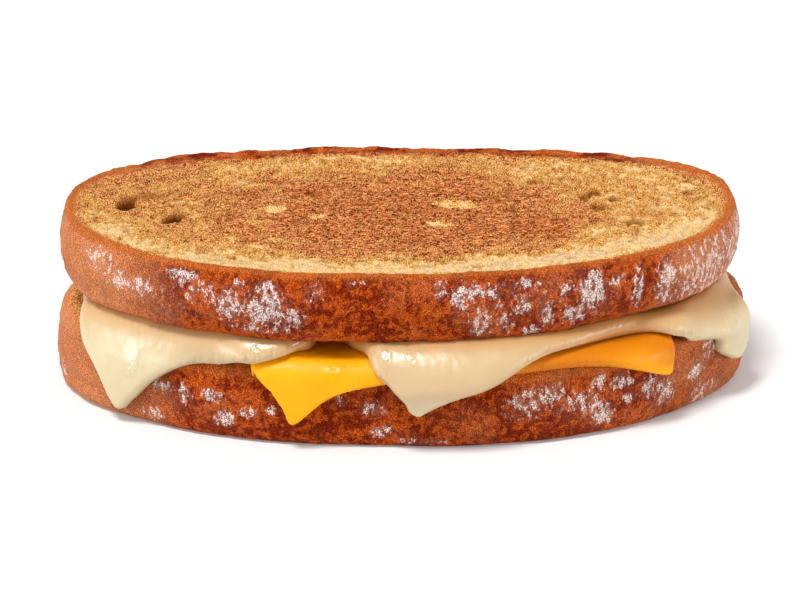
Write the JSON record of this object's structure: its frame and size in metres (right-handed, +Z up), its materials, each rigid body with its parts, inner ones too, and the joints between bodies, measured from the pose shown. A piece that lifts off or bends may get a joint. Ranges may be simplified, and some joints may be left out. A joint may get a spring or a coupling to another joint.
{
  "type": "grilled cheese sandwich",
  "caption": "Toasted sandwich of oval, floured sourdough slices with molten yellow and white cheese whose corners hang down over the lower crust.",
  "frame": {"origin": "middle of the sandwich's box, on the surface it lies on", "axes": "+X along the slices, +Y towards the loaf's flat base at the back, +Z up through the layers"},
  "size_m": [0.1558, 0.1002, 0.0403],
  "materials": {
    "toasted_bread": null,
    "yellow_cheese": "smooth, glossy, slightly translucent melted cheese; gloss plastic stands in",
    "white_cheese": "smooth, wet, translucent melted cheese; gloss plastic stands in"
  },
  "bodies": {
    "root": {"bread_lower": "toasted_bread", "bread_upper": "toasted_bread", "cheese_yellow": "yellow_cheese", "cheese_white_left": "white_cheese", "cheese_white_right": "white_cheese"}
  },
  "joints": []
}
